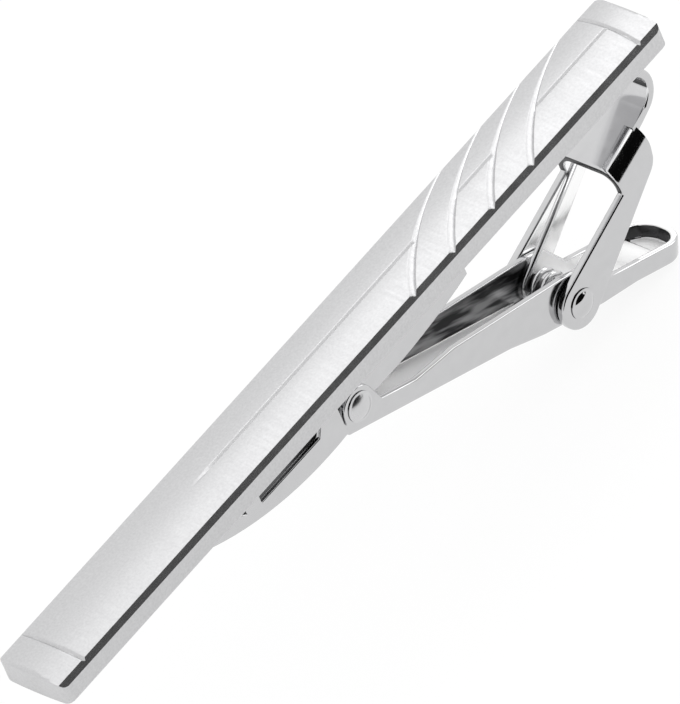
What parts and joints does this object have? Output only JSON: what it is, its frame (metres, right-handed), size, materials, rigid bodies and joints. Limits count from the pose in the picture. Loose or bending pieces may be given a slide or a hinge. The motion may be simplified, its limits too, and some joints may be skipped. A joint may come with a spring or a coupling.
{
  "type": "tie clip",
  "caption": "Pinch tie clip: a long satin bar with a bevelled edge and cut grooves, a bent hinge bracket, a sprung lever with a rimmed tail and a rocking jaw that grips behind the bar.",
  "frame": {"origin": "middle of the bar's flat back", "axes": "+X along the bar towards the hinge end, +Y across the bar, +Z out of the decorated face"},
  "size_m": [0.058, 0.006, 0.017],
  "materials": {
    "satin_bar": "satin plate, brushed across the bar",
    "polished_sheet": "bright plated sheet",
    "polished_rivet": "bright plated, domed",
    "spring_wire": "drawn spring wire"
  },
  "bodies": {
    "bar": {"front_bar": "satin_bar", "hinge_bracket": "polished_sheet", "pivot_rivet": "polished_rivet", "torsion_spring": "spring_wire"},
    "lever": {"lever": "polished_sheet", "jaw_rivet": "polished_rivet"},
    "jaw": {"swivel_jaw": "polished_sheet"}
  },
  "joints": [
    {"name": "lever_pivot", "type": "hinge", "parent": "bar", "child": "lever", "pos_m": [0.0159, 0, -0.0101], "axis": [0, -1, 0], "range_deg": [0, 20], "stiffness_Nm_per_rad": 0.02, "springref_deg": -57.3, "deforming": ["torsion_spring"]},
    {"name": "jaw_swivel", "type": "hinge", "parent": "lever", "child": "jaw", "pos_m": [-0.00125, 0, -0.00213], "axis": [0, -1, 0], "range_deg": [-20, 0]}
  ],
  "couplings": [
    {"joint": "jaw_swivel", "follows": "lever_pivot", "ratio": -1}
  ]
}
